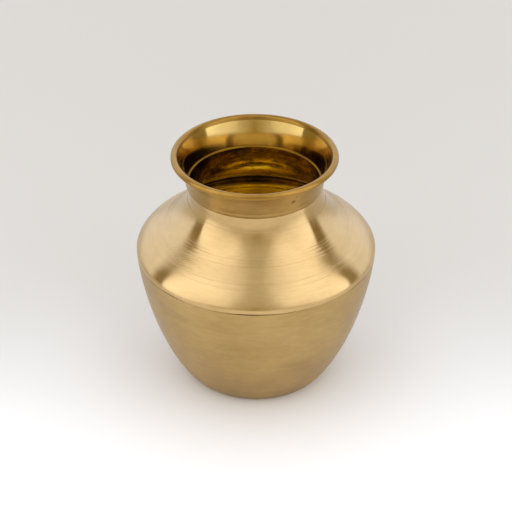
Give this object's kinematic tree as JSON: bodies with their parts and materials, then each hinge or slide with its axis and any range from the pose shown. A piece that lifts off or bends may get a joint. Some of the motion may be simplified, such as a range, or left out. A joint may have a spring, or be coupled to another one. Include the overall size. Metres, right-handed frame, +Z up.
{
  "type": "brass kalash pot",
  "caption": "Round-bellied sheet-brass water pot with a lapped belly seam, a sloping shoulder, a hollow neck and a flared mouth with a rolled, wired rim.",
  "frame": {"origin": "centre of the resting face, on the axis of the pot", "axes": "+Z up along the axis of the pot, out of the mouth; X and Y lie in the resting plane, and the pot is round about Z"},
  "size_m": [0.145, 0.145, 0.15],
  "materials": {
    "bowl_brass": "fine satin, lathe-brushed round the axis",
    "shoulder_brass": "burnished on the lathe, with faint turning rings",
    "collar_brass": "polished inside, satin outside",
    "wire_brass": "drawn wire",
    "spelter": "as brazed"
  },
  "bodies": {
    "root": {"bowl": "bowl_brass", "shoulder": "shoulder_brass", "mouth_collar": "collar_brass", "rim_wire": "wire_brass", "belly_braze": "spelter", "neck_braze": "spelter"}
  },
  "joints": []
}
